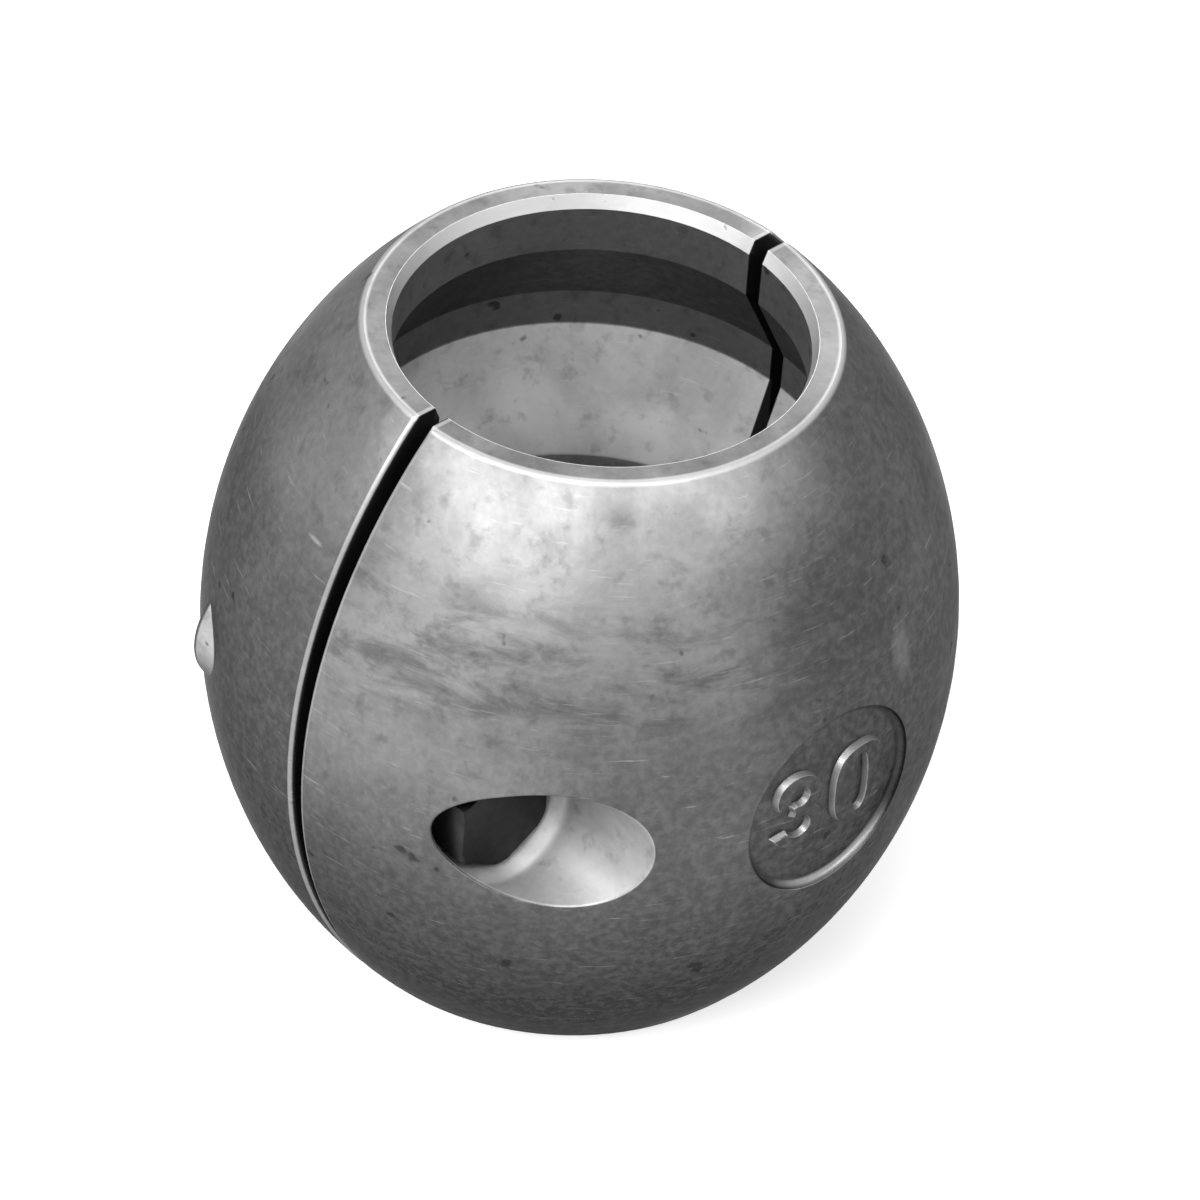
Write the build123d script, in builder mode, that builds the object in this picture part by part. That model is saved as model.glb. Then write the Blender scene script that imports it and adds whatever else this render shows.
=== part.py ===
# Split shaft anode for a 30 mm shaft: two cast zinc half shells and two clamp screws.
# Millimetres. The bore runs along Z, its middle is the origin, and the halves part on the XZ plane.
# The front half lies at negative Y. Each screw enters one half and is tapped into the other.

import os
from math import sqrt, tan, radians

from build123d import *

# Shaft and clearances
shaft_radius = 15.0
screw_clearance = 0.25
thread_clearance = 0.05
tip_clearance = 0.4

# Barrel of the casting, whose wall is thickest at half height
wall_thickness = 12.4
half_length = 26.0
ring_width = 2.2
outer_edge_round = 0.4

# Bore of the casting, heights measured from the middle
lip_chamfer_width = 0.45
lip_chamfer_depth = 1.05
lip_bottom_height = 21.3
groove_depth = 3.2
groove_top_height = 14.8
groove_bottom_height = 11.8
land_height = 2.05

# Gap between the halves: it is wider at the top than at the bottom
gap_top = 1.3
gap_bottom = 0.45

# Clamp screws with hex heads and a five millimetre thread, one on each side of the shaft.
# The share says where in the wall they run: 0 is at the shaft and 1 at the barrel's surface.
screw_share = 0.371
shank_radius = 2.5
tip_cover = 4.95
head_flats = 8.0
head_height = 3.5
head_face_radius = 4.3
head_chamfer_angle = 30.0
tip_chamfer = 0.5

# Screw pockets: a counterbore for the head, and a mouth that widens outwards
pocket_depth = 9.0
counterbore_clearance = 0.28
counterbore_length = 5.65
mouth_angle = 3.8
mouth_bend = 12.0
pocket_edge_round = 0.25

# Size pad on the front half
pad_radius = 7.65
pad_depth = 0.6
pad_floor_round = 0.4

# Low boss on the back half, round the far end of the front screw
boss_radius = 5.0
boss_height = 4.3
boss_edge_round = 0.4

barrel_radius = shaft_radius + wall_thickness
ring_radius = shaft_radius + ring_width
groove_radius = shaft_radius + groove_depth

# Places measured from the parting plane, outwards along a screw's axis
screw_x = shaft_radius + screw_share * wall_thickness
surface_depth = sqrt(barrel_radius**2 - screw_x**2)
seat_depth = surface_depth - pocket_depth
counterbore_top = seat_depth + counterbore_length
tip_depth = surface_depth - tip_cover
tapped_depth = tip_depth + tip_clearance
boss_end = seat_depth + boss_height

corner_radius = head_flats / sqrt(3)
counterbore_radius = corner_radius + counterbore_clearance

# A length well beyond the casting, and the tolerance for picking edges by their place
reach = 2 * barrel_radius
pick = 0.05


def facing(side):
    """The parting plane seen from outside: side is -1 for the front and 1 for the back."""
    return Plane(origin=(0, 0, 0), x_dir=(1, 0, 0), z_dir=(0, side, 0))


def bore_side(sign):
    """Corners of the bore wall on one side of the middle, from the middle outwards."""
    return [
        (shaft_radius, sign * land_height),
        (groove_radius, sign * groove_bottom_height),
        (groove_radius, sign * groove_top_height),
        (shaft_radius, sign * lip_bottom_height),
        (shaft_radius, sign * (half_length - lip_chamfer_depth)),
        (shaft_radius + lip_chamfer_width, sign * half_length),
    ]


def round_section():
    """Half section of the whole casting: a barrel arc outside and the stepped bore inside."""
    with BuildSketch(Plane.XZ) as section:
        with BuildLine():
            ThreePointArc((ring_radius, -half_length), (barrel_radius, 0), (ring_radius, half_length))
            Polyline(
                (ring_radius, half_length),
                *reversed(bore_side(1)),
                *bore_side(-1),
                (ring_radius, -half_length),
            )
        make_face()
    return section.sketch


def parting_section(side):
    """The space that one half may fill, seen along the X axis."""
    with BuildSketch(Plane.YZ) as region:
        with BuildLine():
            Polyline(
                (side * gap_bottom / 2, -half_length),
                (side * gap_top / 2, half_length),
                (side * reach, half_length),
                (side * reach, -half_length),
                close=True,
            )
        make_face()
    return region.sketch


def round_bar(side, x, radius, start, end):
    """A round bar square to the parting plane, between two depths from it."""
    with BuildPart() as bar:
        with BuildSketch(facing(side).offset(start)):
            with Locations((x, 0)):
                Circle(radius)
        extrude(amount=end - start)
    return bar.part


def pocket_space(side):
    """Counterbore for a screw head that bends gently into a mouth which widens outwards."""
    mouth_radius = counterbore_radius + (barrel_radius - counterbore_top) * tan(radians(mouth_angle))
    with BuildPart() as space:
        with BuildSketch(Plane(origin=(side * screw_x, 0, 0))) as section:
            with BuildLine():
                FilletPolyline(
                    (counterbore_radius, side * seat_depth),
                    (counterbore_radius, side * counterbore_top),
                    (mouth_radius, side * barrel_radius),
                    radius=mouth_bend,
                )
                Polyline(
                    (mouth_radius, side * barrel_radius),
                    (0, side * barrel_radius),
                    (0, side * seat_depth),
                    (counterbore_radius, side * seat_depth),
                )
            make_face()
        revolve(section.sketch, axis=Axis((side * screw_x, 0, 0), (0, 1, 0)))
    return space.part


def plain_half(side):
    """Half of the barrel with a rounded outer edge all round."""
    with BuildPart() as half:
        revolve(round_section(), axis=Axis.Z)
        extrude(parting_section(side), amount=reach, both=True, mode=Mode.INTERSECT)
        parting_edges = half.edges().filter_by(
            lambda edge: abs(abs(edge.center().X) - barrel_radius) < pick
        )
        rim_edges = half.edges().filter_by(GeomType.CIRCLE).filter_by(
            lambda edge: abs(edge.radius - ring_radius) < pick
        )
        fillet(parting_edges + rim_edges, outer_edge_round)
    return half.part


def fastened_half(side, body):
    """A half shell with its own screw's pocket and the tapped hole for the other screw."""
    with BuildPart() as half:
        add(body)
        add(pocket_space(side), mode=Mode.SUBTRACT)
        fillet(half.edges(Select.LAST).filter_by(GeomType.BSPLINE), pocket_edge_round)
        clearance_radius = shank_radius + screw_clearance
        tapped_radius = shank_radius + thread_clearance
        add(round_bar(side, side * screw_x, clearance_radius, 0, seat_depth), mode=Mode.SUBTRACT)
        add(round_bar(side, -side * screw_x, tapped_radius, 0, tapped_depth), mode=Mode.SUBTRACT)
    return half.part


def pad_space():
    """The shallow round recess for the size number, its floor curved like the barrel."""
    crown = barrel_radius - ring_radius
    arc_radius = (half_length**2 + crown**2) / (2 * crown)
    with BuildPart() as space:
        add(round_bar(-1, 0, pad_radius, groove_radius, barrel_radius + pad_depth))
        with BuildSketch(Plane.XZ) as core:
            with Locations((barrel_radius - arc_radius, 0)):
                Circle(arc_radius - pad_depth)
            Rectangle(reach, 2 * reach, align=(Align.MAX, Align.CENTER), mode=Mode.SUBTRACT)
        revolve(core.sketch, axis=Axis.Z, mode=Mode.SUBTRACT)
        floor_edge = space.edges().filter_by(GeomType.BSPLINE)
        fillet(floor_edge, pad_floor_round)
    return space.part


def padded_half():
    """The front half with the recess for the size number."""
    with BuildPart() as half:
        add(plain_half(-1))
        add(pad_space(), mode=Mode.SUBTRACT)
    return half.part


def bossed_half():
    """The back half with a low round boss over the far end of the front screw."""
    with BuildPart() as boss:
        add(round_bar(1, -screw_x, boss_radius, seat_depth, boss_end))
        fillet(boss.faces().sort_by(Axis.Y)[-1].edges(), boss_edge_round)
    with BuildPart() as half:
        add(plain_half(1))
        add(boss.part)
    return half.part


def head_body(side):
    """Hexagonal head with its corners turned off to a round face."""
    corner_cut = corner_radius - head_face_radius
    with BuildPart() as head:
        add(round_bar(side, side * screw_x, corner_radius, seat_depth, seat_depth + head_height))
        face_rim = head.faces().sort_by(Axis.Y)[0 if side < 0 else -1].edges()
        chamfer(face_rim, corner_cut * tan(radians(head_chamfer_angle)), corner_cut)
        with BuildSketch(facing(side).offset(seat_depth)) as outline:
            with Locations((side * screw_x, 0)):
                RegularPolygon(corner_radius, 6, rotation=90)
        extrude(outline.sketch, amount=head_height, mode=Mode.INTERSECT)
    return head.part


def clamp_screw(side):
    """A hex head screw, its head in the pocket of the half on the given side."""
    with BuildPart() as screw:
        add(round_bar(side, side * screw_x, shank_radius, -tip_depth, seat_depth))
        tip = screw.faces().filter_by(GeomType.PLANE).sort_by(Axis.Y)[-1 if side < 0 else 0]
        chamfer(tip.edges(), tip_chamfer)
        add(head_body(side))
    return screw.part


os.makedirs("parts", exist_ok=True)

with BuildPart() as front_half:
    add(fastened_half(-1, padded_half()))
front_half.part.label = "front_half"
export_step(front_half.part, "parts/front_half.step")

with BuildPart() as back_half:
    add(fastened_half(1, bossed_half()))
back_half.part.label = "back_half"
export_step(back_half.part, "parts/back_half.step")

with BuildPart() as front_screw:
    add(clamp_screw(-1))
front_screw.part.label = "front_screw"
export_step(front_screw.part, "parts/front_screw.step")

with BuildPart() as back_screw:
    add(clamp_screw(1))
back_screw.part.label = "back_screw"
export_step(back_screw.part, "parts/back_screw.step")
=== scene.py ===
"""Split shaft anode: cast zinc halves with a raised size number and clamp screws, on a studio stage."""

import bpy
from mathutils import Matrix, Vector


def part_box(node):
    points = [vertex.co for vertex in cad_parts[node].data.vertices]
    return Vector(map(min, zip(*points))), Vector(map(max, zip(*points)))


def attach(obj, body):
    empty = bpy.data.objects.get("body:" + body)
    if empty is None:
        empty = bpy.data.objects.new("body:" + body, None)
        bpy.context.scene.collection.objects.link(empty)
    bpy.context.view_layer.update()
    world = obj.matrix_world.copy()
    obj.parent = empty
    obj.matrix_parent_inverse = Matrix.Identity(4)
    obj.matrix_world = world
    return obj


bl_info = {
    "name": "Split Shaft Anode",
    "version": (1, 0, 0),
    "blender": (4, 5, 0),
    "location": "View3D > Sidebar > Anode",
    "description": "Dresses the packed shaft anode with cast zinc, a raised size number and dark screws",
    "category": "Object",
}

import math

import bmesh
import bpy
from mathutils import Quaternion, Vector

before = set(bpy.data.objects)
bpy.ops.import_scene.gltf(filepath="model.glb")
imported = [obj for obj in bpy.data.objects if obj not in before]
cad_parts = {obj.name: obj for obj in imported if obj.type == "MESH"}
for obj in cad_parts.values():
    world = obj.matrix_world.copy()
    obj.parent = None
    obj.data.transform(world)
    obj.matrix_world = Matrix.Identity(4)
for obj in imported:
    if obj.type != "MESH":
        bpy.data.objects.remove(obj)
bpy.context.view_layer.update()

MM = 0.001
BODY = "root"

# The castings: node, material slot, how far the skin's patterns are shifted, and the scale of its pits.
CASTINGS = (
    ("front_half", "cast_zinc", 0.31, 430.0),
    ("back_half", "cast_zinc_back", 0.62, 520.0),
)
SHIFT_WAY = (1.0, 0.7, 0.3)
SCREWS = ("front_screw", "back_screw")

# Sizes of the casting in millimetres and degrees, which the size number and the zones of the skin follow.
BARREL_RADIUS = 27.4
RING_RADIUS = 17.2
HALF_LENGTH = 26.0
PAD_DEPTH = 0.6
GAP_TOP = 1.3
GAP_BOTTOM = 0.45
LIP_START = 21.2
SCREW_X = 19.6
MOUTH_START = 15.8
MOUTH_ANGLE = 3.8

# The digits 3 and 0 are made of oval rings, in millimetres: the middle, the half width and half height of
# the outer and of the inner oval, how square the ovals are, and the angles between which a ring is open.
DIGIT_RINGS = (
    ((-3.5, 1.41), (2.05, 1.91), (0.65, 0.67), 2.0, (205, 250)),
    ((-3.5, -1.29), (2.25, 2.03), (0.85, 0.79), 2.0, (110, 200)),
    ((2.28, -0.05), (2.73, 3.4), (0.63, 2.4), 2.6, None),
)
RING_SEGMENTS = 96

# The sides of the digits are where the surface leans: how upright its normal is where the side starts, and
# over how much of that the side becomes full.
SIDE_START = 0.85
SIDE_SPAN = 0.3

# How much narrower the bore's zone gets for each millimetre past the start of the lip, so that it leaves out
# the end ring; the way that the painted highlight on the shoulder faces; and the way that the low part of
# the pad lies.
LIP_LEAN = 0.8
SHOULDER_HIGHLIGHT_WAY = (-0.643, -0.766, 0.0)
PAD_LOW_WAY = (0.16, 0.0, -0.987)

# Zones of the casting that look different. A zone is where all its spans meet. A span runs along one
# measure: either from the place where the zone is absent to the place where it is full, or, where it has a
# fourth value, between two places with edges of that softness. Places are in millimetres, apart from those
# of facing, which is a share.
IN_BORE = ("bore", 18.45, 18.35)
ON_FRONT = ("y", -0.5, -1.0)
ON_BACK = ("y", -1.0, -0.5)
AT_PAD = ("y", -19.0, -20.0)
IN_POCKET = (("pocket", 4.985, 4.925), ("reach", 9.2, 9.6))
DEEP_IN_POCKET = (*IN_POCKET, ("reach", 15.5, 14.5))
ON_PAD_RIM = (AT_PAD, ("pad", 6.9, 7.3), ("pad", 7.75, 7.65))
ZONES = {
    "bore": (IN_BORE,),
    "bore_slope": (IN_BORE, ("height", 2.1, 11.9, 0.15)),
    "bore_slope_low_painted_light": (IN_BORE, ("height", 2.1, 7.0, 2.5)),
    "bore_flare_painted_shade": (IN_BORE, ("height", 14.9, 21.2, 0.1)),
    "bore_lip_left_painted_light": (IN_BORE, ("height", 21.3, 24.9, 0.1), ("x", -7.0, -14.5)),
    "bore_chamfer_highlight": (("radius", 15.5, 15.46), ("height", 24.95, 26.5, 0.02)),
    "end_ring": (("height", 25.93, 25.99),),
    "end_ring_right_painted_light": (("height", 25.93, 25.99), ("x", 2.0, 17.0)),
    "end_ring_edge_highlight": (("radius", 16.85, 17.35, 0.12), ("height", 25.7, 26.5, 0.08)),
    "gap": (("gap", 0.1, 0.04),),
    "gap_edge_highlight": (("gap", 0.1, 0.4, 0.05), ("bore", 18.35, 18.45)),
    "pocket": IN_POCKET,
    "pocket_deep": DEEP_IN_POCKET,
    "pocket_highlight": (*DEEP_IN_POCKET, ("pocket_side", 1.0, -1.5)),
    # A narrow stripe along the side of the boss, where a painted highlight lies.
    "boss": (
        ("boss", 5.08, 5.02),
        ("y", 11.0, 11.2),
        ("y", 14.1, 13.9),
        ("x", -22.0, -22.2),
        ("z", -4.5, 1.5),
    ),
    "pad": (AT_PAD, ("pad", 7.3, 6.9)),
    "pad_rim_low_highlight": (*ON_PAD_RIM, ("pad_low", 4.2, 7.5)),
    "pad_rim_high_shade": (*ON_PAD_RIM, ("pad_low", 7.5, 4.2)),
    "low_end_painted_shade": (("z", 8.0, -26.0),),
    # Where the painted highlight on the upper front-left shoulder lies.
    "shoulder": (("z", 6.0, 24.0), ("facing", 0.45, 0.95)),
    "smudged": (("z", 9.0, 18.5, 3.0), ("facing", 0.3, 0.8)),
    "front_left_painted_light": (ON_FRONT, ("x", -11.0, -25.0), ("z", -12.0, 15.0), ("z", 24.0, 19.0)),
    "front_right_painted_shade": (ON_FRONT, ("x", -6.0, 8.0, 5.0), ("z", 3.0, 21.0, 3.0)),
    "front_low_painted_shade": (ON_FRONT, ("x", -24.0, -15.0), ("z", 13.0, 4.0)),
    "back_high_painted_light": (ON_BACK, ("z", 12.0, 20.0)),
    "back_low_painted_shade": (ON_BACK, ("z", 16.0, 6.0)),
    "back_middle_painted_shade": (("y", 4.0, 12.0), ("z", 0.0, 16.0, 3.0)),
}

# Noise patterns of the skin: scale, detail, roughness and distortion of the noise, and the noise value
# where the pattern is absent and the one where it is full. The pits have a scale for each casting.
PATTERNS = {
    "clouds": (90.0, 5.0, 0.6, 0.4, 0.35, 0.7),
    "grain": (1500.0, 3.0, 0.6, 0.0, 0.3, 0.75),
    "dirt": (620.0, 3.0, 0.6, 0.0, 0.52, 0.72),
    "smudges": (150.0, 6.0, 0.7, 0.5, 0.4, 0.68),
    "scratches": (260.0, 4.0, 0.65, 0.0, 0.6, 0.8),
}
PIT_PATTERN = (2.0, 0.5, 0.0, 0.7, 0.76)
SCREW_PATTERN = (900.0, 4.0, 0.6, 0.0, 0.3, 0.7)

# Patterns that are streaks: how much finer they are along X, Y and Z, and how they are turned, in radians.
STREAKS = {
    "smudges": ((1, 1, 3.2), (0.15, -0.1, 0.0)),
    "scratches": ((1, 1, 14), (0.12, 0.05, 0.0)),
}

# Single marks on the skin from handling, and a painted highlight on a shallow dent: the middle and the half
# sizes in millimetres, and the shares of a half size at which a mark is absent and full.
MARKS = {
    "light_dash": ((-23.6, 3.5, 16.2), (1.2, 1.2, 0.22)),
    "dull_spot": ((-11.6, -14.7, 24.2), (1.7, 1.7, 1.7)),
    "dent_highlight": ((7.2, -25.2, 9.2), (1.5, 1.5, 3.6)),
}
MARK_EDGES = (1.0, 0.2)

# The tints that make the colour of the zinc, one over the other: a mask, its share and its colour.
# Many of these tints are painted light: painted highlights and painted shade, as marked at each.
TINTS = (
    # Painted highlight on the upper front-left shoulder, below the end ring.
    ("shoulder", 0.3, "zinc_wear_and_highlight"),
    # Painted light: the left of the front half, along the seam, is lighter.
    ("front_left_painted_light", 0.15, "zinc_wear_and_highlight"),
    # Painted shade: the right of the front half is darker.
    ("front_right_painted_shade", 0.7, "zinc_oxide_and_shade"),
    # Painted shade: the lower left of the front half is darker.
    ("front_low_painted_shade", 0.35, "zinc_oxide_and_shade"),
    # Painted light: the upper part of the back half is lighter.
    ("back_high_painted_light", 0.1, "zinc_wear_and_highlight"),
    # Painted shade: the low and middle part of the back half is darker.
    ("back_low_painted_shade", 0.5, "zinc_oxide_and_shade"),
    # Painted shade: the zinc gets darker towards the bottom end.
    ("low_end_painted_shade", 0.85, "pit_and_shade"),
    ("pad", 0.9, "zinc_oxide_and_shade"),
    ("bore", 0.9, "turned"),
    # Painted shade on the downward facing flare inside the bore.
    ("bore_flare_painted_shade", 0.8, "zinc_oxide_and_shade"),
    # Painted light on the left part of the lip inside the bore.
    ("bore_lip_left_painted_light", 0.2, "zinc_wear_and_highlight"),
    ("bore_slope", 1.0, "sloped"),
    # Painted light: the deep part of the sloping wall in the bore is lighter where it lies in shade.
    ("bore_slope_low_painted_light", 0.3, "zinc_wear_and_highlight"),
    # Painted light: the walls of the screw pocket are lighter where they lie in shade.
    ("pocket", 0.42, "zinc_wear_and_highlight"),
    # Painted highlight on the pocket wall next to the screw head.
    ("pocket_highlight", 1.0, "zinc_wear_and_highlight"),
    # Painted highlight: a lit stripe along the side of the boss.
    ("boss", 0.42, "zinc_wear_and_highlight"),
    ("end_ring", 0.9, "turned"),
    # Painted light: the end ring gets lighter towards +X.
    ("end_ring_right_painted_light", 0.2, "zinc_wear_and_highlight"),
    ("clouds", 0.4, "zinc_oxide_and_shade"),
    ("grain", 0.05, "zinc_wear_and_highlight"),
    ("dirt", 0.3, "zinc_oxide_and_shade"),
    ("smudges", 0.6, "zinc_oxide_and_shade"),
    ("scratches", 0.2, "zinc_wear_and_highlight"),
    # Painted highlight along the outer edge of the end ring.
    ("end_ring_edge_highlight", 0.45, "zinc_wear_and_highlight"),
    # Painted highlight along the rounded edges beside the gap.
    ("gap_edge_highlight", 0.25, "zinc_wear_and_highlight"),
    # Painted highlight on the lower rim of the number's recess, which faces up.
    ("pad_rim_low_highlight", 0.35, "zinc_wear_and_highlight"),
    # Painted shade on the upper rim of the number's recess, which faces down.
    ("pad_rim_high_shade", 0.7, "pit_and_shade"),
    # Painted highlight on the sloping sides of the digits.
    ("digit_side", 0.26, "zinc_wear_and_highlight"),
    ("light_dash", 0.22, "zinc_wear_and_highlight"),
    ("dull_spot", 0.3, "zinc_oxide_and_shade"),
    # Painted highlight on a shallow dent in the front half.
    ("dent_highlight", 0.07, "zinc_wear_and_highlight"),
    # Painted highlight on the turned chamfer at the mouth of the bore, which is almost white.
    ("bore_chamfer_highlight", 0.9, "zinc_wear_and_highlight"),
    ("pits", 0.7, "pit_and_shade"),
    # Painted shade on the parting faces inside the gap between the halves.
    ("gap", 0.95, "pit_and_shade"),
)

# What clouds and the pockets add to the roughness of the skin and what scratches take away, and how much
# less metallic a pocket is. The deep part of a pocket and the slope in the bore aren't metallic at all.
CLOUD_DULLNESS = 0.12
POCKET_DULLNESS = 0.12
SCRATCH_SHINE = 0.08
POCKET_MATTNESS = 0.45

# Relief of the skin: scale, detail and roughness of its two noises, the shares of the fine one and of the
# pits beside the swelling, and the strength and the depth in millimetres of the whole.
SWELL_NOISE = (260.0, 3.0, 0.5)
FINE_NOISE = (2600.0, 2.0, 0.6)
FINE_SHARE = 0.12
PIT_SHARE = 0.3
BUMP_STRENGTH = 0.3
BUMP_DEPTH = 0.2

# The screws: the colour where they are rubbed, the roughness elsewhere and there, and the metallic share.
STEEL_RUBBED = (0.01, 0.01, 0.01)
STEEL_ROUGHNESS = (0.3, 0.45)
STEEL_METALLIC = 0.9

# The stage in metres: the floor and its glow, and the lamps with their azimuth and elevation in degrees,
# width, height and power in watts.
FLOOR_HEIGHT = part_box("front_half")[0].z
FLOOR_SIZE = 3.0
FLOOR_GLOW = 0.45
LAMP_DISTANCE = 0.8
LAMPS = (
    ("key", -80.0, 45.0, 0.72, 0.36, 6.8),
    ("front", 5.0, 44.0, 0.56, 0.20, 2.9),
    ("side", -125.0, 36.0, 0.30, 0.24, 1.8),
    ("rear", 134.0, 40.0, 0.30, 0.30, 0.7),
    ("top", -45.0, 82.0, 0.35, 0.35, 1.5),
)


# Sizes and finishes that a user may change


class AnodeNumberSizes(bpy.types.PropertyGroup):
    """Sizes of the raised size number in its round recess."""

    middle_height: bpy.props.FloatProperty(
        name="Middle height", description="Height of the number's middle on the barrel", default=0.8 * MM,
        unit="LENGTH",
    )
    middle_side: bpy.props.FloatProperty(
        name="Middle sideways", description="How far the number's middle lies towards +X", default=0.0,
        unit="LENGTH",
    )
    relief: bpy.props.FloatProperty(
        name="Relief", description="How far the digits stand above the recess floor", default=0.5 * MM,
        unit="LENGTH",
    )
    root: bpy.props.FloatProperty(
        name="Root", description="How far the digits reach into the casting", default=0.3 * MM, unit="LENGTH"
    )
    slope: bpy.props.FloatProperty(
        name="Slope", description="Width of the digits' sloping sides", default=0.17 * MM, unit="LENGTH"
    )
    softness: bpy.props.IntProperty(
        name="Softness", description="How far the edges of the digits are rounded", default=2, min=0, max=60
    )
    grain: bpy.props.FloatProperty(
        name="Mesh size", description="Edge length of the digit mesh", default=0.055 * MM, unit="LENGTH"
    )


class AnodeBarrelSizes(bpy.types.PropertyGroup):
    """Sizes of the barrel surface that the number's recess follows."""

    barrel_radius: bpy.props.FloatProperty(
        name="Barrel radius", description="Radius at half height", default=BARREL_RADIUS * MM, unit="LENGTH"
    )
    ring_radius: bpy.props.FloatProperty(
        name="Ring radius", description="Outer radius of the flat end ring", default=RING_RADIUS * MM,
        unit="LENGTH",
    )
    half_length: bpy.props.FloatProperty(
        name="Half length", description="Half the length along the shaft", default=HALF_LENGTH * MM,
        unit="LENGTH",
    )
    pad_depth: bpy.props.FloatProperty(
        name="Pad depth", description="Depth of the recess for the number", default=PAD_DEPTH * MM,
        unit="LENGTH",
    )


class AnodeFinish(bpy.types.PropertyGroup):
    """Colours and gloss of the cast zinc and of the screws."""

    zinc: bpy.props.FloatVectorProperty(
        name="Zinc", description="Main colour of the cast zinc", subtype="COLOR", size=3,
        default=(0.095, 0.095, 0.095), min=0.0, max=1.0,
    )
    # Besides scratches and grain, this colour makes the painted highlights and painted light of the zinc.
    zinc_wear_and_highlight: bpy.props.FloatVectorProperty(
        name="Bright zinc", description="Colour where the casting is rubbed bright", subtype="COLOR", size=3,
        default=(0.72, 0.72, 0.72), min=0.0, max=1.0,
    )
    # Besides the oxide clouds, dirt and smudges, this colour makes painted shade on the zinc.
    zinc_oxide_and_shade: bpy.props.FloatVectorProperty(
        name="Dull zinc", description="Colour of the dull oxide patches", subtype="COLOR", size=3,
        default=(0.04, 0.04, 0.04), min=0.0, max=1.0,
    )
    turned: bpy.props.FloatVectorProperty(
        name="Turned zinc", description="Colour of the flat end rings", subtype="COLOR", size=3,
        default=(0.2, 0.2, 0.2), min=0.0, max=1.0,
    )
    sloped: bpy.props.FloatVectorProperty(
        name="Dull bore", description="Colour of the matt sloping walls in the bore", subtype="COLOR",
        size=3, default=(0.37, 0.37, 0.37), min=0.0, max=1.0,
    )
    edge_tint: bpy.props.FloatProperty(
        name="Grazing tint", description="How bright the zinc gets where it is seen at a low angle",
        default=0.3, min=0.0, max=1.0, subtype="FACTOR",
    )
    # Besides the pits, this colour makes the painted shade at the low end, on the recess's upper rim and in
    # the gap.
    pit_and_shade: bpy.props.FloatVectorProperty(
        name="Pits", description="Colour inside the small casting pits", subtype="COLOR", size=3,
        default=(0.02, 0.02, 0.02), min=0.0, max=1.0,
    )
    metallic: bpy.props.FloatProperty(
        name="Metallic", description="Metallic share of the zinc surface", default=0.85, min=0.0, max=1.0,
        subtype="FACTOR",
    )
    gloss: bpy.props.FloatProperty(
        name="Roughness", description="Roughness of the cast skin", default=0.4, min=0.0, max=1.0,
        subtype="FACTOR",
    )
    steel: bpy.props.FloatVectorProperty(
        name="Steel", description="Colour of the screws", subtype="COLOR", size=3,
        default=(0.015, 0.015, 0.015), min=0.0, max=1.0,
    )


class AnodeStage(bpy.types.PropertyGroup):
    """Camera, fill light and floor."""

    distance: bpy.props.FloatProperty(
        name="Camera distance", description="Distance from the middle of the bore", default=0.999,
        unit="LENGTH",
    )
    azimuth: bpy.props.FloatProperty(
        name="Azimuth", description="Camera direction round the shaft axis", default=math.radians(-45.5),
        subtype="ANGLE",
    )
    elevation: bpy.props.FloatProperty(
        name="Elevation", description="Camera height above the horizon", default=math.radians(39.85),
        subtype="ANGLE",
    )
    roll: bpy.props.FloatProperty(
        name="Roll", description="Turn of the camera about its own axis", default=math.radians(4.8),
        subtype="ANGLE",
    )
    lens: bpy.props.FloatProperty(
        name="Lens", description="Focal length in millimetres on a 36 mm sensor", default=414.8, min=1.0
    )
    shift_x: bpy.props.FloatProperty(name="Shift X", description="Sideways lens shift", default=0.0172)
    shift_y: bpy.props.FloatProperty(name="Shift Y", description="Vertical lens shift", default=0.0072)
    ambient: bpy.props.FloatProperty(
        name="Ambient", description="Strength of the fill that comes from all round", default=0.35, min=0.0
    )
    floor_colour: bpy.props.FloatVectorProperty(
        name="Floor", description="Colour of the floor", subtype="COLOR", size=3,
        default=(0.8, 0.8, 0.8), min=0.0, max=1.0,
    )


# Small helpers for meshes


def barrel_surface(x, z, sunk):
    """Distance from the parting plane to a layer sunk below the front of the barrel, at x and z."""
    sizes = bpy.context.scene.anode_barrel
    crown = sizes.barrel_radius - sizes.ring_radius
    arc_radius = (sizes.half_length**2 + crown**2) / (2 * crown)
    radius = sizes.barrel_radius - arc_radius + math.sqrt((arc_radius - sunk) ** 2 - z * z)
    return math.sqrt(radius * radius - x * x)


def direction(azimuth, elevation):
    """Unit vector towards a place seen from the middle: azimuth 0 is the front, and 90 degrees is +X."""
    level = math.cos(elevation)
    return Vector((math.sin(azimuth) * level, -math.cos(azimuth) * level, math.sin(elevation)))


def oval_edges(form, half_sizes, power):
    """The edges of a flat oval about the origin, which gets squarer as the power rises from 2."""
    verts = bmesh.ops.create_circle(form, segments=RING_SEGMENTS, radius=1.0)["verts"]
    for vertex in verts:
        x = math.copysign(abs(vertex.co.x) ** (2 / power), vertex.co.x)
        y = math.copysign(abs(vertex.co.y) ** (2 / power), vertex.co.y)
        vertex.co = (x * half_sizes[0] * MM, y * half_sizes[1] * MM, 0.0)
    return list(dict.fromkeys(edge for vertex in verts for edge in vertex.link_edges))


def opened(form, faces, half_sizes, opening):
    """The faces of a flat ring that are left once those between the two opening angles are deleted."""
    away = []
    for face in faces:
        spot = face.calc_center_median()
        angle = math.degrees(math.atan2(spot.y / half_sizes[1], spot.x / half_sizes[0])) % 360
        if opening[0] < angle < opening[1]:
            away.append(face)
    kept = [face for face in faces if face not in away]
    bmesh.ops.delete(form, geom=away, context="FACES")
    return kept


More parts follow.
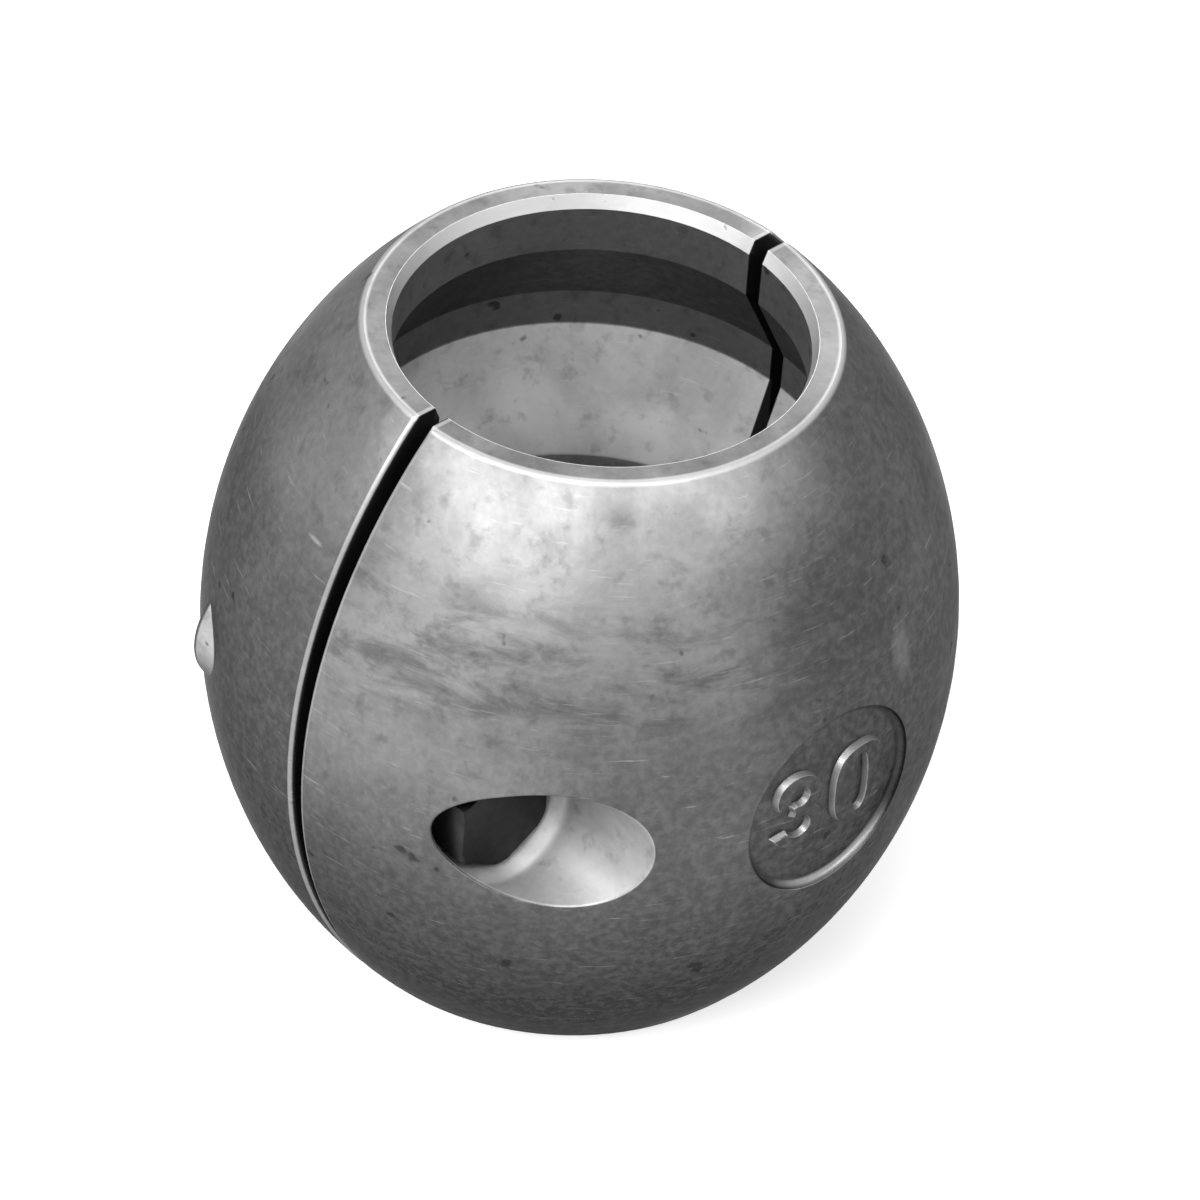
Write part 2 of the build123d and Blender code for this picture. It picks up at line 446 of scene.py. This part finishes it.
def raised_ring(form, ring, sizes):
    """One bowl of a digit, laid flat: an oval ring with an upright root below and sloping sides above."""
    middle, outer, inner, power, opening = ring
    edges = oval_edges(form, outer, power) + oval_edges(form, inner, power)
    bottom = bmesh.ops.bridge_loops(form, edges=edges)["faces"]
    if opening:
        bottom = opened(form, bottom, outer, opening)
    lifted = bmesh.ops.extrude_face_region(form, geom=bottom)["geom"]
    top = [item for item in lifted if isinstance(item, bmesh.types.BMFace)]
    block = {vertex for face in bottom + top for vertex in face.verts}
    raised = {vertex for face in top for vertex in face.verts}
    for vertex in block:
        vertex.co += Vector((middle[0] * MM, middle[1] * MM, 0.0 if vertex in raised else -sizes.root))
    form.normal_update()
    for face in top:
        if face.normal.z < 0:
            face.normal_flip()
    bmesh.ops.inset_region(
        form, faces=top, thickness=sizes.slope, depth=sizes.relief, use_even_offset=True, use_boundary=True
    )


def flat_digits(sizes):
    """A closed mesh of the two digits, laid flat about the origin."""
    mesh = bpy.data.meshes.new("size_number")
    form = bmesh.new()
    for ring in DIGIT_RINGS:
        raised_ring(form, ring, sizes)
    bmesh.ops.recalc_face_normals(form, faces=form.faces)
    form.to_mesh(mesh)
    form.free()
    return mesh


def softened(piece, sizes):
    """A mesh with one skin over the rings of a piece, and its edges rounded."""
    remesh = piece.modifiers.new("grain", "REMESH")
    remesh.mode = "VOXEL"
    remesh.voxel_size = sizes.grain
    soften = piece.modifiers.new("soften", "SMOOTH")
    soften.factor = 0.5
    soften.iterations = sizes.softness
    bpy.context.view_layer.update()
    graph = bpy.context.evaluated_depsgraph_get()
    mesh = bpy.data.meshes.new_from_object(piece.evaluated_get(graph))
    piece.modifiers.clear()
    return mesh


def mark_sides(mesh):
    """Stores where the sides of the flat digits are, for the painted highlight on them in their material."""
    side = mesh.attributes.new("digit_side", "FLOAT", "POINT")
    for vertex in mesh.vertices:
        leaning = (SIDE_START - abs(vertex.normal.z)) / SIDE_SPAN
        side.data[vertex.index].value = min(max(leaning, 0.0), 1.0)


def lay_on_pad(mesh, sizes, pad_depth):
    """Stands the flat digits up on the floor of the recess, which is curved like the barrel."""
    for vertex in mesh.vertices:
        x, z, raised = vertex.co
        x += sizes.middle_side
        z += sizes.middle_height
        vertex.co = (x, -(barrel_surface(x, z, pad_depth) + raised), z)
    form = bmesh.new()
    form.from_mesh(mesh)
    bmesh.ops.recalc_face_normals(form, faces=form.faces)
    for face in form.faces:
        face.smooth = True
    form.to_mesh(mesh)
    form.free()


def give_material(mesh, material):
    """Makes a material the only one of a mesh."""
    mesh.materials.clear()
    mesh.materials.append(material)


def own_piece(name, mesh):
    """A finished object of the scene that rides on the one body."""
    piece = bpy.data.objects.new(name, mesh)
    bpy.context.scene.collection.objects.link(piece)
    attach(piece, BODY)
    return piece


# Materials


class Nodes:
    """Adds nodes to a material or a world and links them, left to right."""

    ROW = 12
    STEP = (180, -220)
    START = (-2200, 600)

    def __init__(self, owner):
        self.tree = owner.node_tree
        self.count = 0

    def add(self, kind, inputs=None, **settings):
        node = self.tree.nodes.new(kind)
        self.count += 1
        row, column = divmod(self.count, self.ROW)
        node.location = (self.START[0] + self.STEP[0] * column, self.START[1] + self.STEP[1] * row)
        for key, value in settings.items():
            setattr(node, key, value)
        for key, value in (inputs or {}).items():
            self.plug(node.inputs[key], value)
        return node

    def plug(self, socket, value):
        if isinstance(value, bpy.types.NodeSocket):
            self.tree.links.new(value, socket)
        elif isinstance(value, bpy.types.Node):
            self.tree.links.new(value.outputs[0], socket)
        else:
            socket.default_value = value

    def math(self, operation, first, second=0.0, third=0.0):
        return self.add("ShaderNodeMath", {0: first, 1: second, 2: third}, operation=operation).outputs[0]

    def measure(self, operation, first, second=(0, 0, 0)):
        """A number worked out from one or two vectors."""
        node = self.add("ShaderNodeVectorMath", {0: first, 1: second}, operation=operation)
        return node.outputs["Value"]

    def distance(self, first, second):
        """How far off a point is, from its distances in two directions."""
        return self.measure("LENGTH", self.add("ShaderNodeCombineXYZ", {"X": first, "Y": second}))

    def noise(self, vector, scale, detail, roughness, distortion=0.0):
        inputs = {"Vector": vector, "Scale": scale, "Detail": detail, "Roughness": roughness}
        inputs["Distortion"] = distortion
        return self.add("ShaderNodeTexNoise", inputs).outputs["Fac"]

    def range(self, value, low, high, to_low=0.0, to_high=1.0, smooth=True):
        inputs = {"Value": value, "From Min": low, "From Max": high, "To Min": to_low, "To Max": to_high}
        node = self.add("ShaderNodeMapRange", inputs)
        node.interpolation_type = "SMOOTHSTEP" if smooth else "LINEAR"
        return node.outputs["Result"]

    def pattern(self, vector, scale, detail, roughness, distortion, absent, full):
        """Mask of a noise, between the noise value where it is absent and the one where it is full."""
        return self.range(self.noise(vector, scale, detail, roughness, distortion), absent, full)

    def blend(self, factor, first, second):
        """Mixes two colours. A mix node has its colours at inputs 6 and 7 and at output 2."""
        node = self.add("ShaderNodeMix", data_type="RGBA", blend_type="MIX")
        self.plug(node.inputs[0], factor)
        self.plug(node.inputs[6], first)
        self.plug(node.inputs[7], second)
        return node.outputs[2]

    def stretched(self, vector, scale=(1, 1, 1), place=(0, 0, 0), turn=(0, 0, 0)):
        """Coordinates moved, turned and scaled, for streaks along one direction."""
        inputs = {"Vector": vector, "Location": place, "Rotation": turn, "Scale": scale}
        return self.add("ShaderNodeMapping", inputs).outputs["Vector"]

    def seen(self):
        """Mask that is 1 for what the camera, mirrors and glass see, and 0 for the light on the object."""
        path = self.add("ShaderNodeLightPath").outputs
        mirrored = self.math("MAXIMUM", path["Is Camera Ray"], path["Is Glossy Ray"])
        return self.math("MAXIMUM", mirrored, path["Is Transmission Ray"])


def opaque(colour):
    """A colour with full alpha."""
    return (*colour, 1.0)


def new_material(name):
    """An empty node material."""
    material = bpy.data.materials.new(name)
    material.use_nodes = True
    material.node_tree.nodes.clear()
    return material


def casting_measures(nodes, place):
    """What the zones of a casting are measured by, in millimetres."""
    inputs = {0: place, "Scale": 1 / MM}
    scaled = nodes.add("ShaderNodeVectorMath", inputs, operation="SCALE").outputs["Vector"]
    parts = nodes.add("ShaderNodeSeparateXYZ", {"Vector": scaled}).outputs
    x, y, z = parts["X"], parts["Y"], parts["Z"]
    height = nodes.math("ABSOLUTE", z)
    reach = nodes.math("ABSOLUTE", y)
    across = nodes.add("ShaderNodeCombineXYZ", {"X": x, "Y": y})
    radius = nodes.measure("LENGTH", across)
    above_lip = nodes.math("MAXIMUM", nodes.math("SUBTRACT", height, LIP_START), 0.0)
    gap_growth = (GAP_TOP - GAP_BOTTOM) / (4 * HALF_LENGTH)
    half_gap = nodes.math("MULTIPLY_ADD", z, gap_growth, (GAP_TOP + GAP_BOTTOM) / 4)
    turned_x = nodes.math("MULTIPLY", x, nodes.math("SIGN", y))
    pocket_side = nodes.math("SUBTRACT", turned_x, SCREW_X)
    in_mouth = nodes.math("MAXIMUM", nodes.math("SUBTRACT", reach, MOUTH_START), 0.0)
    mouth_growth = nodes.math("MULTIPLY", in_mouth, math.tan(math.radians(MOUTH_ANGLE)))
    return {
        "x": x,
        "y": y,
        "z": z,
        "height": height,
        "reach": reach,
        "radius": radius,
        "bore": nodes.math("MULTIPLY_ADD", above_lip, LIP_LEAN, radius),
        "gap": nodes.math("SUBTRACT", reach, half_gap),
        "facing": nodes.math("DIVIDE", nodes.measure("DOT_PRODUCT", across, SHOULDER_HIGHLIGHT_WAY), radius),
        "pad": nodes.distance(x, z),
        "pad_low": nodes.measure("DOT_PRODUCT", scaled, PAD_LOW_WAY),
        "pocket": nodes.math("SUBTRACT", nodes.distance(pocket_side, z), mouth_growth),
        "pocket_side": pocket_side,
        "boss": nodes.distance(nodes.math("ADD", turned_x, SCREW_X), z),
    }


def casting_zones(nodes, place):
    """Masks for the zones of a casting that look different."""
    measures = casting_measures(nodes, place)
    ramps = {}

    def ramp(measure, absent, full):
        """Mask that goes smoothly from 0 at the place where it is absent to 1 where it is full."""
        if (measure, absent, full) not in ramps:
            ends = (absent, full) if absent < full else (full, absent, 1.0, 0.0)
            ramps[measure, absent, full] = nodes.range(measures[measure], *ends)
        return ramps[measure, absent, full]

    def zone(spans):
        """Mask of one zone, which is where all its spans meet."""
        masks = []
        for measure, start, end, *softness in spans:
            if softness:
                soft = softness[0]
                masks += [ramp(measure, start - soft, start + soft), ramp(measure, end + soft, end - soft)]
            else:
                masks.append(ramp(measure, start, end))
        mask = masks[0]
        for other in masks[1:]:
            mask = nodes.math("MULTIPLY", mask, other)
        return mask

    zones = {name: zone(spans) for name, spans in ZONES.items()}
    zones["back_low_painted_shade"] = nodes.math("MAXIMUM", zones["back_low_painted_shade"], zones["back_middle_painted_shade"])
    return zones


def skin_patterns(nodes, place, pit_scale):
    """Masks for the clouds, grain, dirt, smudges, scratches and pits of the skin."""
    patterns = {"pits": nodes.pattern(place, pit_scale, *PIT_PATTERN)}
    for name, values in PATTERNS.items():
        vector = place
        if name in STREAKS:
            scale, turn = STREAKS[name]
            vector = nodes.stretched(place, scale, turn=turn)
        patterns[name] = nodes.pattern(vector, *values)
    return patterns


def handling_marks(nodes, place):
    """Masks for the single marks on the skin."""
    marks = {}
    for name, (middle, half_sizes) in MARKS.items():
        scale = [1 / (half * MM) for half in half_sizes]
        shift = [-part * MM * factor for part, factor in zip(middle, scale)]
        off = nodes.measure("LENGTH", nodes.stretched(place, scale, shift))
        absent, full = MARK_EDGES
        marks[name] = nodes.range(off, full, absent, 1.0, 0.0)
    return marks


def skin_roughness(nodes, masks, gloss):
    """Roughness of the zinc: duller in clouds and pockets, shinier along scratches."""
    clouded = nodes.range(masks["clouds"], 0.0, 1.0, gloss, gloss + CLOUD_DULLNESS, smooth=False)
    scratched = nodes.math("SUBTRACT", clouded, nodes.math("MULTIPLY", masks["scratches"], SCRATCH_SHINE))
    return nodes.math("MULTIPLY_ADD", masks["pocket"], POCKET_DULLNESS, scratched)


def skin_metallic(nodes, masks, metallic):
    """Metallic share of the zinc, which the matt slope in the bore and the deep part of a pocket lack."""
    matt = nodes.math("MAXIMUM", masks["bore_slope"], masks["pocket_deep"])
    matt = nodes.math("MAXIMUM", matt, nodes.math("MULTIPLY", masks["pocket"], POCKET_MATTNESS))
    return nodes.math("MULTIPLY", nodes.math("SUBTRACT", 1.0, matt), metallic)


def skin_bump(nodes, place, pits):
    """Relief of the cast skin: gentle swelling, a fine grain and small pits."""
    swell = nodes.noise(place, *SWELL_NOISE)
    height = nodes.math("MULTIPLY_ADD", nodes.noise(place, *FINE_NOISE), FINE_SHARE, swell)
    height = nodes.math("SUBTRACT", height, nodes.math("MULTIPLY", pits, PIT_SHARE))
    inputs = {"Strength": BUMP_STRENGTH, "Distance": BUMP_DEPTH * MM, "Height": height}
    return nodes.add("ShaderNodeBump", inputs)


def cast_zinc_material(name, shift, pit_scale):
    """Satin cast zinc with cloudy oxide, handling scratches and small pits, and painted highlights and
    shade.
    """
    finish = bpy.context.scene.anode_finish
    material = new_material(name)
    nodes = Nodes(material)
    place = nodes.add("ShaderNodeTexCoord").outputs["Object"]
    moved = nodes.stretched(place, place=[shift * part for part in SHIFT_WAY])
    masks = {**casting_zones(nodes, place), **skin_patterns(nodes, moved, pit_scale)}
    masks.update(handling_marks(nodes, place))
    masks["smudges"] = nodes.math("MULTIPLY", masks["smudges"], masks["smudged"])
    masks["digit_side"] = nodes.add("ShaderNodeAttribute", attribute_name="digit_side").outputs["Fac"]

    colour = opaque(finish.zinc)
    for mask, share, tint in TINTS:
        factor = nodes.math("MULTIPLY", masks[mask], share)
        colour = nodes.blend(factor, colour, opaque(getattr(finish, tint)))

    inputs = {
        "Base Color": colour,
        "Metallic": skin_metallic(nodes, masks, finish.metallic),
        "Roughness": skin_roughness(nodes, masks, finish.gloss),
        "Normal": skin_bump(nodes, moved, masks["pits"]),
        "Specular Tint": opaque((finish.edge_tint,) * 3),
    }
    shader = nodes.add("ShaderNodeBsdfPrincipled", inputs)
    nodes.add("ShaderNodeOutputMaterial", {"Surface": shader})
    return material


def screw_material():
    """Plain stainless steel, lightly brushed and a little dull."""
    finish = bpy.context.scene.anode_finish
    material = new_material("plain_stainless")
    nodes = Nodes(material)
    place = nodes.add("ShaderNodeTexCoord").outputs["Object"]
    rubbed = nodes.pattern(place, *SCREW_PATTERN)
    inputs = {
        "Base Color": nodes.blend(rubbed, opaque(finish.steel), opaque(STEEL_RUBBED)),
        "Metallic": STEEL_METALLIC,
        "Roughness": nodes.range(rubbed, 0.0, 1.0, *STEEL_ROUGHNESS, smooth=False),
    }
    shader = nodes.add("ShaderNodeBsdfPrincipled", inputs)
    nodes.add("ShaderNodeOutputMaterial", {"Surface": shader})
    return material


def pale_material(name, colour, glow):
    """Diffuse pale surface, with a glow that only the camera, mirrors and glass see."""
    material = new_material(name)
    nodes = Nodes(material)
    inputs = {"Base Color": opaque(colour), "Roughness": 1.0, "Specular IOR Level": 0.0}
    shader = nodes.add("ShaderNodeBsdfPrincipled", inputs)
    light = nodes.add("ShaderNodeEmission", {"Strength": nodes.math("MULTIPLY", nodes.seen(), glow)})
    both = nodes.add("ShaderNodeAddShader", {0: shader, 1: light})
    nodes.add("ShaderNodeOutputMaterial", {"Surface": both})
    return material


def pale_world(name, ambient):
    """White surroundings for the camera, mirrors and glass, and a weaker white fill for the rest."""
    world = bpy.data.worlds.new(name)
    world.use_nodes = True
    world.node_tree.nodes.clear()
    nodes = Nodes(world)
    strength = nodes.range(nodes.seen(), 0.0, 1.0, ambient, 1.0, smooth=False)
    background = nodes.add("ShaderNodeBackground", {"Color": (1, 1, 1, 1), "Strength": strength})
    nodes.add("ShaderNodeOutputWorld", {"Surface": background})
    return world


# Operators


class ANODE_OT_castings(bpy.types.Operator):
    """Gives the two cast zinc halves their finish"""

    bl_idname = "anode.castings"
    bl_label = "Cast Zinc Halves"

    def execute(self, context):
        for node, slot, shift, pit_scale in CASTINGS:
            give_material(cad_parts[node].data, cast_zinc_material(slot, shift, pit_scale))
        return {"FINISHED"}


class ANODE_OT_number(bpy.types.Operator):
    """Casts the raised size number into the round recess of the front half"""

    bl_idname = "anode.number"
    bl_label = "Raised Size Number"

    def execute(self, context):
        sizes = context.scene.anode_number
        node, slot = CASTINGS[0][:2]
        digits = own_piece("size_number", flat_digits(sizes))
        digits.data = softened(digits, sizes)
        mark_sides(digits.data)
        lay_on_pad(digits.data, sizes, context.scene.anode_barrel.pad_depth)
        give_material(digits.data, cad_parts[node].data.materials[0])
        return {"FINISHED"}


class ANODE_OT_screws(bpy.types.Operator):
    """Gives the two clamp screws their finish"""

    bl_idname = "anode.screws"
    bl_label = "Clamp Screws"

    def execute(self, context):
        material = screw_material()
        for node in SCREWS:
            give_material(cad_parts[node].data, material)
        return {"FINISHED"}


class ANODE_OT_stage(bpy.types.Operator):
    """Sets up the pale floor, the lamps and the camera"""

    bl_idname = "anode.stage"
    bl_label = "Studio Stage"

    def execute(self, context):
        scene = context.scene
        stage = scene.anode_stage
        self.floor(scene, stage)
        scene.world = pale_world("pale_studio", stage.ambient)
        self.camera(scene, stage)
        self.lamps(scene)
        scene.view_settings.view_transform = "Standard"
        return {"FINISHED"}

    def floor(self, scene, stage):
        mesh = bpy.data.meshes.new("floor")
        form = bmesh.new()
        bmesh.ops.create_grid(form, x_segments=1, y_segments=1, size=FLOOR_SIZE)
        bmesh.ops.translate(form, verts=form.verts, vec=(0, 0, FLOOR_HEIGHT))
        form.to_mesh(mesh)
        form.free()
        floor = bpy.data.objects.new("floor", mesh)
        scene.collection.objects.link(floor)
        give_material(mesh, pale_material("pale_floor", stage.floor_colour, FLOOR_GLOW))

    def camera(self, scene, stage):
        data = bpy.data.cameras.new("camera")
        data.lens = stage.lens
        data.sensor_width = 36.0
        data.shift_x = stage.shift_x
        data.shift_y = stage.shift_y
        data.clip_start = 0.05
        data.clip_end = 20.0
        camera = bpy.data.objects.new("camera", data)
        scene.collection.objects.link(camera)
        back = direction(stage.azimuth, stage.elevation)
        camera.location = back * stage.distance
        camera.rotation_mode = "QUATERNION"
        look = (-back).to_track_quat("-Z", "Y")
        camera.rotation_quaternion = look @ Quaternion((0, 0, 1), stage.roll)
        scene.camera = camera

    def lamps(self, scene):
        for name, azimuth, elevation, width, height, power in LAMPS:
            data = bpy.data.lights.new(name, "AREA")
            data.shape = "ELLIPSE"
            data.size = width
            data.size_y = height
            data.energy = power
            place = LAMP_DISTANCE * direction(math.radians(azimuth), math.radians(elevation))
            lamp = bpy.data.objects.new(name, data)
            scene.collection.objects.link(lamp)
            lamp.location = place
            lamp.rotation_mode = "QUATERNION"
            lamp.rotation_quaternion = (-place).to_track_quat("-Z", "Y")


class ANODE_PT_panel(bpy.types.Panel):
    """Lists the anode's pieces and the stage"""

    bl_idname = "ANODE_PT_panel"
    bl_label = "Split Shaft Anode"
    bl_space_type = "VIEW_3D"
    bl_region_type = "UI"
    bl_category = "Anode"

    def draw(self, context):
        column = self.layout.column()
        for operator in OPERATORS:
            column.operator(operator.bl_idname)
        for group, _ in GROUPS:
            settings = getattr(context.scene, group)
            box = column.box()
            for name in settings.__annotations__:
                box.prop(settings, name)


GROUPS = (
    ("anode_barrel", AnodeBarrelSizes),
    ("anode_number", AnodeNumberSizes),
    ("anode_finish", AnodeFinish),
    ("anode_stage", AnodeStage),
)
OPERATORS = (ANODE_OT_castings, ANODE_OT_number, ANODE_OT_screws, ANODE_OT_stage)


def register():
    for name, group in GROUPS:
        bpy.utils.register_class(group)
        setattr(bpy.types.Scene, name, bpy.props.PointerProperty(type=group))
    for operator in OPERATORS:
        bpy.utils.register_class(operator)
    bpy.utils.register_class(ANODE_PT_panel)


def unregister():
    bpy.utils.unregister_class(ANODE_PT_panel)
    for operator in reversed(OPERATORS):
        bpy.utils.unregister_class(operator)
    for name, group in reversed(GROUPS):
        delattr(bpy.types.Scene, name)
        bpy.utils.unregister_class(group)


def main():
    """Dresses the anode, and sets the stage."""
    register()
    bpy.ops.anode.castings()
    bpy.ops.anode.number()
    bpy.ops.anode.screws()
    bpy.ops.anode.stage()


if __name__ == "__main__":
    main()
